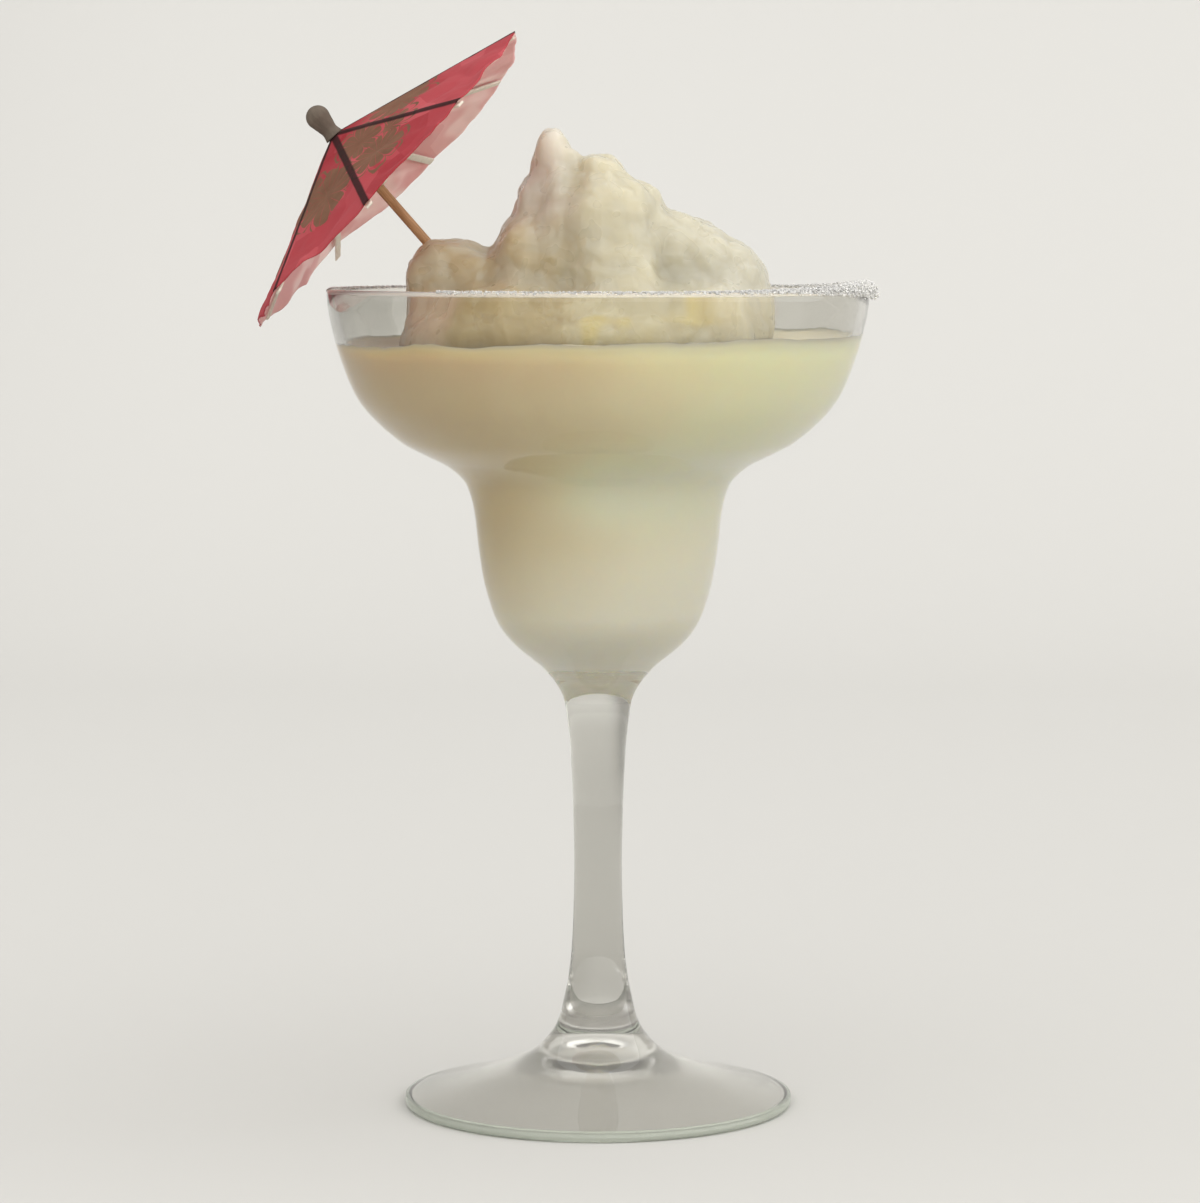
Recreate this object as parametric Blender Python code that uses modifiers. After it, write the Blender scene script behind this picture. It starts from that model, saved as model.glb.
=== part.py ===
"""Frozen margarita in its glass, with a paper umbrella. Metres, +Z up.

The origin is on the glass's axis at the underside of the foot. +X is the drink's right and -Y its front.
"""

import math
import random

import bmesh
import bpy
import numpy as np
from mathutils import Matrix, Vector

MM = 0.001
GAP = 0.3 * MM

# Glass
RIM_RADIUS = 56.0 * MM
RIM_HEIGHT = 170.5 * MM
FOOT_RADIUS = 40.5 * MM
FOOT_EDGE = 2.0 * MM
LIP_WALL = 1.8 * MM
LIP_ARC_DEG = (150, 30)
LIP_STEPS = 3
BOWL_WALL = 2.6 * MM
BOWL_FLOOR_HEIGHT = 97.2 * MM
BOWL_FLOOR_START = 104.0 * MM
# Radius and height in millimetres of the glass's outside, from the lip down to the foot's edge
OUTSIDE_MM = (
    (56.0, 169.6), (55.8, 166.5), (54.8, 161.6), (53.4, 156.6), (50.5, 149.2), (46.9, 144.2), (41.3, 139.2),
    (36.9, 136.7), (32.0, 134.3), (28.7, 131.8), (27.0, 129.3), (25.7, 124.3), (24.85, 116.8), (23.6, 109.3),
    (21.1, 101.7), (17.4, 96.7), (11.4, 91.7), (7.7, 86.7), (6.5, 81.6), (5.6, 71.6), (5.0, 51.3), (5.5, 33.5),
    (6.9, 23.3), (9.3, 15.7), (14.8, 10.3), (24.7, 6.3), (34.6, 3.5), (39.4, 2.4), (40.5, 2.0),
)
GLASS_SIDES = 36
CURVE_STEPS = 6
CURVE_TOLERANCE = 0.12 * MM

# Drink and the slush heaped on it
DRINK_LEVEL = 159.6 * MM
MOUND_CENTRE_X = -3.0 * MM
MOUND_BLEND = 1.5 * MM
MOUND_REACH = 62.0 * MM
MOUND_STEP = 0.5 * MM
MOUND_HALVINGS = 6
MOUND_DETAIL = 5
# Centre x, y, z and half sizes x, y, z in millimetres of the lumps that melt together into the heap.
# A squareness of 2 would make them round, and a higher one makes them boxier
LUMP_SQUARENESS = 3.0
LUMPS_MM = (
    (-4, 0, 157, 35.5, 35, 12.5),
    (-30.5, 0, 172, 6.6, 10, 8.4),
    (-35.4, -2, 173.4, 3.5, 7, 3.5),
    (-34, 0, 161, 3.8, 9, 7),
    (-22, 3, 169, 9, 15, 8.6),
    (-16.8, 3, 177, 3.2, 9, 6.6),
    (-12.5, 5, 180, 4.2, 12, 12.2),
    (-9.7, 3, 194, 2.7, 6, 8.6),
    (-6.6, 1, 190, 3.2, 8, 7.0),
    (0.9, -4, 188.5, 3.4, 8, 8.4),
    (4.4, -3, 183, 4.6, 10, 8.8),
    (10.4, -4, 188, 2.0, 5, 2.8),
    (2, -10, 178, 7.2, 10, 12.5),
    (12, -2, 177, 7.5, 12, 9),
    (19, -1, 174, 7.0, 14, 9.9),
    (26, 0, 169.5, 6.0, 15, 10.4),
    (31, 1, 166, 4.8, 13, 9.4),
    (-13, -7, 173, 7, 9, 10),
    (5, -23, 167, 8, 7, 7),
    (-20, -19, 163, 9, 9, 7),
    (22, -18, 164, 8, 8, 7),
    (-8, 23, 167, 11, 8, 9),
    (14, 20, 167, 9, 8, 8),
    (-28, 13, 163, 8, 9, 7),
)

# Salt crust: it runs round the rim from the front by the right and the back to the left
SALT_START_DEG = -125.0
SALT_END_DEG = 186.0
SALT_STATIONS = 80
SALT_SEED = 7
LIP_CLEARANCE = 1.3 * MM
SALT_THIN = 0.55 * MM
SALT_THICK = 1.9 * MM
SALT_THICK_DEG = -6.0
SALT_THICK_SPREAD_DEG = 34.0
SALT_SKIRT = 0.9 * MM
SALT_ANGLES_DEG = (-30, 20, 70, 120, 175)
SALT_UNEVENNESS = (0.55, 1.3)

# Umbrella: its tip, and how its stick and its paper lean over to the left of upright and back
UMBRELLA_TIP = (-54.7 * MM, 2.0 * MM, 202.2 * MM)
UMBRELLA_BACK_DEG = 1.0
STICK_LEAN_DEG = 41.2
CANOPY_LEAN_DEG = 48.5
STICK_RADIUS = 1.0 * MM
STICK_LENGTH = 100.0 * MM
STICK_POINT = 5.0 * MM
STICK_POINT_RADIUS = 0.2 * MM
STICK_TOP_DEPTH = 0.2 * MM
HOLE_TOP_DEPTH = 4.0 * MM
SMALL_SIDES = 16
CANOPY_SLANT = 43.6 * MM
CANOPY_HOLE = 1.5 * MM
PAPER_THICKNESS = 0.3 * MM
PANEL_DIP = 1.6 * MM
EDGE_HOLLOW = 0.05
PANEL_FULLNESS = 0.8
PANEL_COLUMNS = 6
RING_SHARES = (0.17, 0.38, 0.6, 0.8, 1.0)
# Each rib's turn about the axis from the front, towards the upper right, and its angle from the axis
RIB_TURNS_DEG = (-7.5, 33.0, 80.0, 125.0, 166.0, 206.0, 255.0, 312.0)
RIB_ANGLES_DEG = (67.7, 67.7, 70.5, 66.8, 67.6, 72.5, 71.5, 71.8)
RIB_START = 3.4 * MM
RIB_END = 43.6 * MM
RIB_WIDTH = 1.6 * MM
RIB_THICKNESS = 0.5 * MM
RIB_DROP = 1.1 * MM
LOOSE_RIB = 5
LOOSE_END = 2.2 * MM
STRUT_WIDTH = 1.3 * MM
STRUT_THICKNESS = 0.45 * MM
STRUT_START = 2.7 * MM
STRUT_REACH = 17.0 * MM
STRUT_DROP = 0.9 * MM
RUNNER_DEPTH = 12.5 * MM
RUNNER_HEIGHT = 4.0 * MM
RING_RADIUS = 2.1 * MM
RING_BORE = 1.3 * MM
HUB_DEPTH = 2.6 * MM
HUB_HEIGHT = 1.8 * MM
KNOB_FOOT = 0.2 * MM
KNOB_HEIGHT = 7.2 * MM
KNOB_RADIUS = 2.5 * MM
KNOB_NECK = 2.0 * MM
KNOB_WAIST = 1.65 * MM
KNOB_ARC_DEG = (90, -20)
KNOB_STEPS = 5

PART_NAME = "frozen_margarita"
CUTTERS_NAME = "cutters"


def clear_scene():
    for thing in list(bpy.data.objects):
        bpy.data.objects.remove(thing, do_unlink=True)


def new_collection(name):
    collection = bpy.data.collections.new(name)
    bpy.context.scene.collection.children.link(collection)
    return collection


def new_material(name, colour, roughness, alpha=1.0):
    material = bpy.data.materials.new(name)
    material.use_nodes = True
    shader = material.node_tree.nodes["Principled BSDF"]
    shader.inputs["Base Color"].default_value = (*colour, 1.0)
    shader.inputs["Roughness"].default_value = roughness
    shader.inputs["Metallic"].default_value = 0.0
    shader.inputs["Alpha"].default_value = alpha
    return material


def add_object(name, mesh, material, collection, parent=None):
    thing = bpy.data.objects.new(name, mesh)
    collection.objects.link(thing)
    if material:
        mesh.materials.append(material)
    thing.parent = parent
    return thing


def smooth_line(points, steps):
    """Points along a curve that passes through every given (radius, height)."""
    ends = [2 * points[0] - points[1], *points, 2 * points[-1] - points[-2]]
    line = []
    for before, start, end, after in zip(ends, ends[1:], ends[2:], ends[3:]):
        for step in range(steps):
            t = step / steps
            bend = 2 * before - 5 * start + 4 * end - after
            twist = 3 * (start - end) + after - before
            line.append(start + 0.5 * t * (end - before + t * (bend + t * twist)))
    line.append(points[-1])
    return line


def thin_out(line, tolerance):
    """Drops the points that lie within the tolerance of the straight line between those kept."""
    start, end = line[0], line[-1]
    along = (end - start).normalized()
    offsets = [abs((point - start).cross(along)) for point in line]
    worst = max(range(len(line)), key=offsets.__getitem__)
    if offsets[worst] <= tolerance:
        return [start, end]
    return thin_out(line[: worst + 1], tolerance)[:-1] + thin_out(line[worst:], tolerance)


def arc(centre, radius, start_deg, end_deg, steps):
    turns = [math.radians(start_deg + (end_deg - start_deg) * i / steps) for i in range(steps + 1)]
    return [centre + radius * Vector((math.cos(turn), math.sin(turn))) for turn in turns]


def lip_centre():
    """The middle of the rounded lip's section, as (radius, height)."""
    return Vector((RIM_RADIUS - LIP_WALL / 2, RIM_HEIGHT - LIP_WALL / 2))


def outside_line():
    return smooth_line([Vector(point) * MM for point in OUTSIDE_MM], CURVE_STEPS)


def inside_line(inset=0.0):
    """The bowl's inside from the lip down to the floor's centre, moved inwards by the inset."""
    outside = outside_line()
    line = []
    for before, point, after in zip(outside, outside[1:], outside[2:]):
        if point.y < BOWL_FLOOR_START:
            break
        share = (RIM_HEIGHT - point.y) / (RIM_HEIGHT - BOWL_FLOOR_START)
        wall = LIP_WALL + (BOWL_WALL - LIP_WALL) * share + inset
        along = (after - before).normalized()
        line.append(point + wall * Vector((along.y, -along.x)))
    corner = line[-1]
    floor = BOWL_FLOOR_HEIGHT + inset
    for step in range(1, CURVE_STEPS + 1):
        turn = math.pi / 2 * step / CURVE_STEPS
        line.append(Vector((corner.x * math.cos(turn), floor + (corner.y - floor) * (1 - math.sin(turn)))))
    return line


def turned(name, outline, sides, material, collection, parent=None, closed=False):
    """A solid of revolution. The outline is (radius, height) down the outer side."""
    count = len(outline)
    edges = [(i, (i + 1) % count) for i in range(count if closed else count - 1)]
    mesh = bpy.data.meshes.new(name)
    mesh.from_pydata([(point[0], 0.0, point[1]) for point in outline], edges, [])
    thing = add_object(name, mesh, material, collection, parent)
    screw = thing.modifiers.new("Turn", "SCREW")
    screw.steps = sides
    screw.render_steps = sides
    screw.use_merge_vertices = True
    screw.merge_threshold = 0.01 * MM
    screw.use_smooth_shade = True
    return thing


def cut(thing, cutter):
    boolean = thing.modifiers.new("Cut", "BOOLEAN")
    boolean.operation = "DIFFERENCE"
    boolean.solver = "EXACT"
    boolean.object = cutter


def make_glass(material, collection):
    inside = thin_out(inside_line(), CURVE_TOLERANCE)
    outside = thin_out(outside_line(), CURVE_TOLERANCE)
    lip = arc(lip_centre(), LIP_WALL / 2, *LIP_ARC_DEG, LIP_STEPS)
    foot = [Vector((FOOT_RADIUS, FOOT_EDGE / 2)), Vector((FOOT_RADIUS - FOOT_EDGE / 2, 0)), Vector((0, 0))]
    outline = inside[::-1] + lip + outside + foot
    return turned("glass", outline, GLASS_SIDES, material, collection)


def make_drink(material, collection, stick_hole):
    inside = [point for point in inside_line(GAP) if point.y < DRINK_LEVEL]
    surface = [Vector((0, DRINK_LEVEL)), Vector((inside[0].x, DRINK_LEVEL))]
    drink = turned("drink", surface + thin_out(inside, CURVE_TOLERANCE)[1:], GLASS_SIDES, material, collection)
    cut(drink, stick_hole)
    return drink


def lump_depth(points):
    """How far each point lies inside the melted lumps, in metres: above zero is inside."""
    total = np.zeros(len(points))
    for lump in LUMPS_MM:
        centre = np.array(lump[:3]) * MM
        half = np.array(lump[3:]) * MM
        scaled = np.linalg.norm((points - centre) / half, ord=LUMP_SQUARENESS, axis=1)
        total += np.exp((1.0 - scaled) * half.min() / MOUND_BLEND)
    return MOUND_BLEND * np.log(total)


def mound_distance(directions, centre):
    """Distance from the centre to the heap's surface along each direction, found from outside inwards."""
    reach = np.full(len(directions), MOUND_REACH)
    outside = np.ones(len(directions), dtype=bool)
    while outside.any():
        points = centre + directions * reach[:, None]
        outside &= (lump_depth(points) < 0) & (reach > MOUND_STEP)
        reach[outside] -= MOUND_STEP
    for halving in range(1, MOUND_HALVINGS + 1):
        step = MOUND_STEP / 2**halving
        further = centre + directions * (reach + step)[:, None]
        reach[lump_depth(further) >= 0] += step
    return reach


def make_mound(material, collection, stick_hole):
    mesh = bpy.data.meshes.new("slush_mound")
    shape = bmesh.new()
    bmesh.ops.create_icosphere(shape, subdivisions=MOUND_DETAIL, radius=1.0)
    whole = shape.verts[:] + shape.edges[:] + shape.faces[:]
    down = (0, 0, -1)
    bmesh.ops.bisect_plane(shape, geom=whole, dist=1e-4, plane_co=(0, 0, 0), plane_no=down, clear_outer=True)
    rim = [edge for edge in shape.edges if edge.is_boundary]
    bmesh.ops.contextual_create(shape, geom=rim)
    directions = np.array([vert.co.normalized() for vert in shape.verts])
    centre = np.array((MOUND_CENTRE_X, 0.0, DRINK_LEVEL + GAP))
    reach = mound_distance(directions, centre)
    for vert, direction, distance in zip(shape.verts, directions, reach):
        vert.co = Vector(direction) * distance
    bmesh.ops.recalc_face_normals(shape, faces=shape.faces[:])
    shape.to_mesh(mesh)
    shape.free()
    mesh.shade_smooth()
    mound = add_object("slush_mound", mesh, material, collection)
    mound.location = centre
    cut(mound, stick_hole)
    return mound


def salt_section(turn_deg, dice):
    """One (radius, height) outline of the crust, over the lip from its inner to its outer side and back."""
    nearness = math.exp(-(((turn_deg - SALT_THICK_DEG) / SALT_THICK_SPREAD_DEG) ** 2))
    body = SALT_THIN + (SALT_THICK - SALT_THIN) * nearness
    centre = lip_centre()
    over = [centre + Vector((-LIP_CLEARANCE, -SALT_SKIRT / 2))]
    over += arc(centre, LIP_CLEARANCE, *LIP_ARC_DEG, 2)
    over += [centre + Vector((LIP_CLEARANCE, -SALT_SKIRT))]
    outer = []
    for angle_deg in SALT_ANGLES_DEG:
        radius = LIP_CLEARANCE + body * dice.uniform(*SALT_UNEVENNESS)
        angle = math.radians(angle_deg)
        outer.append(centre + Vector((radius * math.cos(angle), radius * math.sin(angle) - SALT_SKIRT / 3)))
    return over + outer


def make_salt(material, collection):
    dice = random.Random(SALT_SEED)
    shape = bmesh.new()
    rings = []
    for station in range(SALT_STATIONS):
        turn_deg = SALT_START_DEG + (SALT_END_DEG - SALT_START_DEG) * station / (SALT_STATIONS - 1)
        turn = math.radians(turn_deg)
        section = salt_section(turn_deg, dice)
        rings.append([shape.verts.new((p.x * math.cos(turn), p.x * math.sin(turn), p.y)) for p in section])
    for ring, following in zip(rings, rings[1:]):
        for i in range(len(ring)):
            j = (i + 1) % len(ring)
            shape.faces.new((ring[i], ring[j], following[j], following[i]))
    shape.faces.new(rings[0][::-1])
    shape.faces.new(rings[-1])
    bmesh.ops.triangulate(shape, faces=shape.faces[:])
    bmesh.ops.recalc_face_normals(shape, faces=shape.faces[:])
    mesh = bpy.data.meshes.new("salt_rim")
    shape.to_mesh(mesh)
    shape.free()
    return add_object("salt_rim", mesh, material, collection)


def make_axis(name, lean_deg, collection):
    """An empty at the umbrella's tip: +Z up along the axis, -Y to the front, +X to the upper right."""
    axis = bpy.data.objects.new(name, None)
    collection.objects.link(axis)
    back = Matrix.Rotation(math.radians(-UMBRELLA_BACK_DEG), 4, "X")
    lean = Matrix.Rotation(math.radians(-lean_deg), 4, "Y")
    axis.matrix_world = Matrix.Translation(UMBRELLA_TIP) @ back @ lean
    return axis


def make_ring(name, depth, height, material, collection, stick_axis):
    """A ring round the stick, with its middle at the depth below the tip."""
    top, bottom = -depth + height / 2, -depth - height / 2
    outline = ((RING_BORE, top), (RING_RADIUS, top), (RING_RADIUS, bottom), (RING_BORE, bottom))
    return turned(name, outline, SMALL_SIDES, material, collection, stick_axis, closed=True)


def stick_outline(top_depth, margin):
    """The pointed stick's (radius, height) outline from the depth below its tip, grown by the margin."""
    radius = STICK_RADIUS + margin
    bottom = -STICK_LENGTH - margin
    point = [(radius, bottom + STICK_POINT), (STICK_POINT_RADIUS + margin, bottom), (0, bottom)]
    return [(0, -top_depth), (radius, -top_depth), *point]


def make_stick(material, collection, stick_axis):
    outline = stick_outline(STICK_TOP_DEPTH, 0)
    return turned("umbrella_stick", outline, SMALL_SIDES, material, collection, stick_axis)


def make_stick_hole(collection, stick_axis):
    """The cutter that clears the stick from the slush and the drink."""
    hole = turned("stick_hole", stick_outline(HOLE_TOP_DEPTH, GAP), SMALL_SIDES, None, collection, stick_axis)
    hole.hide_render = True
    hole.display_type = "WIRE"
    return hole


def make_knob(material, collection, stick_axis):
    ball_height = KNOB_HEIGHT - KNOB_RADIUS
    ball = arc(Vector((0, ball_height)), KNOB_RADIUS, *KNOB_ARC_DEG, KNOB_STEPS)
    neck = [Vector((KNOB_WAIST, ball_height / 2)), Vector((KNOB_NECK, KNOB_FOOT)), Vector((0, KNOB_FOOT))]
    return turned("umbrella_knob", ball + neck, SMALL_SIDES, material, collection, stick_axis)


def rib_direction(turn_deg, angle_deg):
    """Unit direction of a line from the umbrella's tip, in the canopy's own axes."""
    turn, angle = math.radians(turn_deg), math.radians(angle_deg)
    outward = Vector((math.sin(turn), -math.cos(turn), 0))
    return outward * math.sin(angle) + Vector((0, 0, -math.cos(angle)))


def canopy_point(panel, share, slant):
    """A point of the paper between rib number panel and the next, in the canopy's own axes."""
    count = len(RIB_TURNS_DEG)
    start, end = RIB_TURNS_DEG[panel], RIB_TURNS_DEG[(panel + 1) % count]
    end += 360 if end < start else 0
    angle_start, angle_end = RIB_ANGLES_DEG[panel], RIB_ANGLES_DEG[(panel + 1) % count]
    ease = share * share * (3 - 2 * share)
    direction = rib_direction(start + (end - start) * share, angle_start + (angle_end - angle_start) * ease)
    middleness = math.sin(math.pi * share) ** PANEL_FULLNESS if share else 0
    outwardness = slant / CANOPY_SLANT
    dip = PANEL_DIP * outwardness * middleness
    return direction * slant * (1 - EDGE_HOLLOW * outwardness * middleness) + Vector((0, 0, -dip))


def solidify(thing, thickness):
    shell = thing.modifiers.new("Thickness", "SOLIDIFY")
    shell.thickness = thickness
    shell.offset = 0
    shell.use_even_offset = False


def make_canopy(material, collection, canopy_axis):
    shape = bmesh.new()
    slants = [CANOPY_HOLE + (CANOPY_SLANT - CANOPY_HOLE) * share for share in (0, *RING_SHARES)]
    panels = range(len(RIB_TURNS_DEG))
    columns = [(panel, step / PANEL_COLUMNS) for panel in panels for step in range(PANEL_COLUMNS)]
    rings = [[shape.verts.new(canopy_point(*column, slant)) for column in columns] for slant in slants]
    for ring, following in zip(rings, rings[1:]):
        for i in range(len(ring)):
            j = (i + 1) % len(ring)
            shape.faces.new((ring[i], following[i], following[j], ring[j]))
    mesh = bpy.data.meshes.new("umbrella_canopy")
    shape.to_mesh(mesh)
    shape.free()
    canopy = add_object("umbrella_canopy", mesh, material, collection, canopy_axis)
    solidify(canopy, PAPER_THICKNESS)
    return canopy


def make_strip(name, points, across, width, thickness, material, collection, parent):
    """A flat strip along the points, wide in the direction across."""
    half = across * (width / 2)
    verts = [corner for point in points for corner in (point - half, point + half)]
    faces = [(2 * i, 2 * i + 1, 2 * i + 3, 2 * i + 2) for i in range(len(points) - 1)]
    mesh = bpy.data.meshes.new(name)
    mesh.from_pydata(verts, [], faces)
    strip = add_object(name, mesh, material, collection, parent)
    solidify(strip, thickness)
    return strip


def make_ribs(material, collection, canopy_axis, stick_axis):
    down = canopy_axis.matrix_world.to_3x3().inverted() @ Vector((0, 0, -1))
    to_canopy = canopy_axis.matrix_world.inverted() @ stick_axis.matrix_world
    for number, (turn_deg, angle_deg) in enumerate(zip(RIB_TURNS_DEG, RIB_ANGLES_DEG)):
        turn = math.radians(turn_deg)
        across = Vector((math.cos(turn), math.sin(turn), 0))
        direction = rib_direction(turn_deg, angle_deg)
        below = across.cross(direction)
        below = below if below.z < 0 else -below
        points = [direction * slant + below * RIB_DROP for slant in (RIB_START, RIB_END)]
        if number == LOOSE_RIB:
            points.append(points[-1] + down * LOOSE_END)
        name = f"umbrella_rib_{number + 1}"
        make_strip(name, points, across, RIB_WIDTH, RIB_THICKNESS, material, collection, canopy_axis)
        outward = Vector((math.sin(turn), -math.cos(turn), 0)) * STRUT_START
        foot = to_canopy @ (outward + Vector((0, 0, -RUNNER_DEPTH)))
        head = direction * STRUT_REACH + below * (RIB_DROP + STRUT_DROP)
        name = f"umbrella_strut_{number + 1}"
        make_strip(name, [foot, head], across, STRUT_WIDTH, STRUT_THICKNESS, material, collection, canopy_axis)


def make_umbrella(collection, stick_axis):
    wood = new_material("stick_wood", (0.62, 0.40, 0.21), 0.55)
    paper = new_material("canopy_paper", (0.55, 0.08, 0.10), 0.7)
    card = new_material("pale_card", (0.72, 0.66, 0.55), 0.8)
    knob = new_material("knob_card", (0.33, 0.28, 0.23), 0.7)
    canopy_axis = make_axis("canopy_axis", CANOPY_LEAN_DEG, collection)
    make_stick(wood, collection, stick_axis)
    make_knob(knob, collection, stick_axis)
    make_ring("umbrella_hub", HUB_DEPTH, HUB_HEIGHT, card, collection, stick_axis)
    make_ring("umbrella_runner", RUNNER_DEPTH, RUNNER_HEIGHT, card, collection, stick_axis)
    make_canopy(paper, collection, canopy_axis)
    make_ribs(card, collection, canopy_axis, stick_axis)


def main():
    clear_scene()
    part = new_collection(PART_NAME)
    cutters = new_collection(CUTTERS_NAME)
    stick_axis = make_axis("stick_axis", STICK_LEAN_DEG, part)
    stick_hole = make_stick_hole(cutters, stick_axis)
    make_glass(new_material("clear_glass", (0.85, 0.88, 0.86), 0.05, alpha=0.35), part)
    make_drink(new_material("drink_slush", (0.58, 0.49, 0.28), 0.35), part, stick_hole)
    make_mound(new_material("mound_slush", (0.66, 0.58, 0.42), 0.3), part, stick_hole)
    make_salt(new_material("salt", (0.8, 0.78, 0.74), 0.5), part)
    make_umbrella(part, stick_axis)


main()
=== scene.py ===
"""Looks of the frozen margarita: clear glass, icy slush, a salted rim and a printed paper umbrella.

Metres, +Z up. The origin is on the glass's axis at the underside of the foot, +X is the drink's right
and -Y its front.
"""

import math
import random

import bmesh
import bpy
import numpy as np
from mathutils import Matrix, Vector, noise


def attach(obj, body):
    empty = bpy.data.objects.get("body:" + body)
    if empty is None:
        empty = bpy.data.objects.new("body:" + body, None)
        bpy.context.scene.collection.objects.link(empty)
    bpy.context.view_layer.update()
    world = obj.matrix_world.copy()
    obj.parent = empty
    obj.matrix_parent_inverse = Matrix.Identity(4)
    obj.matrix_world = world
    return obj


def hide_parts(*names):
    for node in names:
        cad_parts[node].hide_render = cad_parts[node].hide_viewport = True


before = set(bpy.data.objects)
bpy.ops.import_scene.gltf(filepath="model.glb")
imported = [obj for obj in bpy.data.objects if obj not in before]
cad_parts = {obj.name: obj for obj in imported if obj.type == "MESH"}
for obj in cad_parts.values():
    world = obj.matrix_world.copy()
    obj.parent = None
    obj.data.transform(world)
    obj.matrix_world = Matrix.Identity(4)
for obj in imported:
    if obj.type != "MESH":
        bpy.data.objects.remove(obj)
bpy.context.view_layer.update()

MM = 0.001
BODY = "root"
OWN_PLACE = "own_place"

# The photo's camera: distance and height from the glass's axis, downward tilt, and focal length in pixels
PHOTO_HEIGHT_PX = 1203
FOCAL_PX = 4150
SENSOR_MM = 36.0
CAMERA_PLACE = (0.0004, -0.860, 0.1822)
CAMERA_DOWN_DEG = 5.09

# Glass
RIM_RADIUS = 56.0 * MM
RIM_HEIGHT = 170.5 * MM
FOOT_RADIUS = 40.5 * MM
FOOT_EDGE = 2.0 * MM
# Radius and height in millimetres of the hollow under the foot, from the ring it stands on to the middle
UNDERSIDE_MM = (
    (38.6, 0.0), (34.0, 1.4), (28.0, 3.2), (22.0, 5.0), (17.0, 6.6), (12.5, 7.8), (9.6, 8.6), (8.2, 9.8),
    (6.0, 11.6), (3.0, 12.8), (0.0, 13.2),
)
UNDERSIDE_TOP = 14.0 * MM
UNDERSIDE_STEPS = 5
FOOT_EDGE_DEG = (60.0, -90.0)
FOOT_EDGE_STEPS = 6
FOOT_EDGE_TINT = (FOOT_RADIUS - 2.5 * MM, FOOT_RADIUS - 0.5 * MM)
LIP_WALL = 1.8 * MM
LIP_DEG = (165.0, 15.0)
LIP_STEPS = 8
BOWL_WALL = 2.6 * MM
BOWL_FLOOR_HEIGHT = 97.2 * MM
BOWL_FLOOR_START = 104.0 * MM
# Radius and height in millimetres of the glass's outside, from the lip down to the foot's edge
OUTSIDE_MM = (
    (56.0, 169.6), (55.8, 166.5), (54.8, 161.6), (53.4, 156.6), (50.5, 149.2), (46.9, 144.2), (41.3, 139.2),
    (36.9, 136.7), (32.0, 134.3), (28.7, 131.8), (27.0, 129.3), (25.7, 124.3), (24.85, 116.8), (23.6, 109.3),
    (21.1, 101.7), (17.4, 96.7), (11.4, 91.7), (7.7, 86.7), (6.5, 81.6), (5.6, 71.6), (5.0, 51.3),
    (5.5, 33.5), (6.9, 23.3), (9.3, 15.7), (14.8, 10.3), (24.7, 6.3), (34.6, 3.5), (39.4, 2.4), (40.5, 2.0),
)
# Heights between which the glass's tint passes from foot to stem and from stem to bowl, and the places from
# left to right between which its empty part over the drink grows paler. That part is tinted darker than the
# glass below the drink, and darker still at its left: painted shade
FOOT_TO_STEM = (9.0 * MM, 26.0 * MM)
STEM_TO_BOWL = (78.0 * MM, 93.0 * MM)
LIP_SHADE_SPAN = (-46.0 * MM, -24.0 * MM)
GLASS_SIDES = 144
CURVE_STEPS = 10
CURVE_TOLERANCE = 0.02 * MM

# Drink: it reaches a little into the wall. Its uneven top has waves and grain, each given by size and height
DRINK_LEVEL = 159.6 * MM
DRINK_IN_WALL = 0.5 * MM
DRINK_RINGS = 40
DRINK_EDGE = 3.0 * MM
DRINK_TILT = 0.016
DRINK_WAVE = (17.0 * MM, 0.8 * MM)
DRINK_GRAIN = (2.4 * MM, 0.35 * MM)
MENISCUS_HEIGHT = 0.8 * MM
MENISCUS_WIDTH = 0.9 * MM
# Between which places its colour changes: from left to right, darker at the left as painted shade; downwards
# to the hazy, paler bottom of the lower cup, which is also a painted soft highlight towards the right; and
# towards the neck under the wide bowl, by height and from left to right, where a painted band of light
# brightens it. Its open top's colour takes over where the surface faces up by these shares
DRINK_SHADE_SPAN = (-48.0 * MM, 44.0 * MM)
DRINK_HAZE_AND_HIGHLIGHT = (136.0 * MM, 98.0 * MM)
NECK_LIGHT_HEIGHT = 131.0 * MM
NECK_LIGHT_REACH = (14.0 * MM, 2.0 * MM)
NECK_LIGHT_SIDE = (-24.0 * MM, 4.0 * MM)
DRINK_TOP_FACING = (0.5, 0.8)

# Heap of slush
MOUND_CENTRE = (-3.0 * MM, 0.0, 157.5 * MM)
MOUND_BLEND = 1.5 * MM
MOUND_REACH = 64.0 * MM
MOUND_STEP = 1.0 * MM
MOUND_HALVINGS = 8
MOUND_DETAIL = 8
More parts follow.
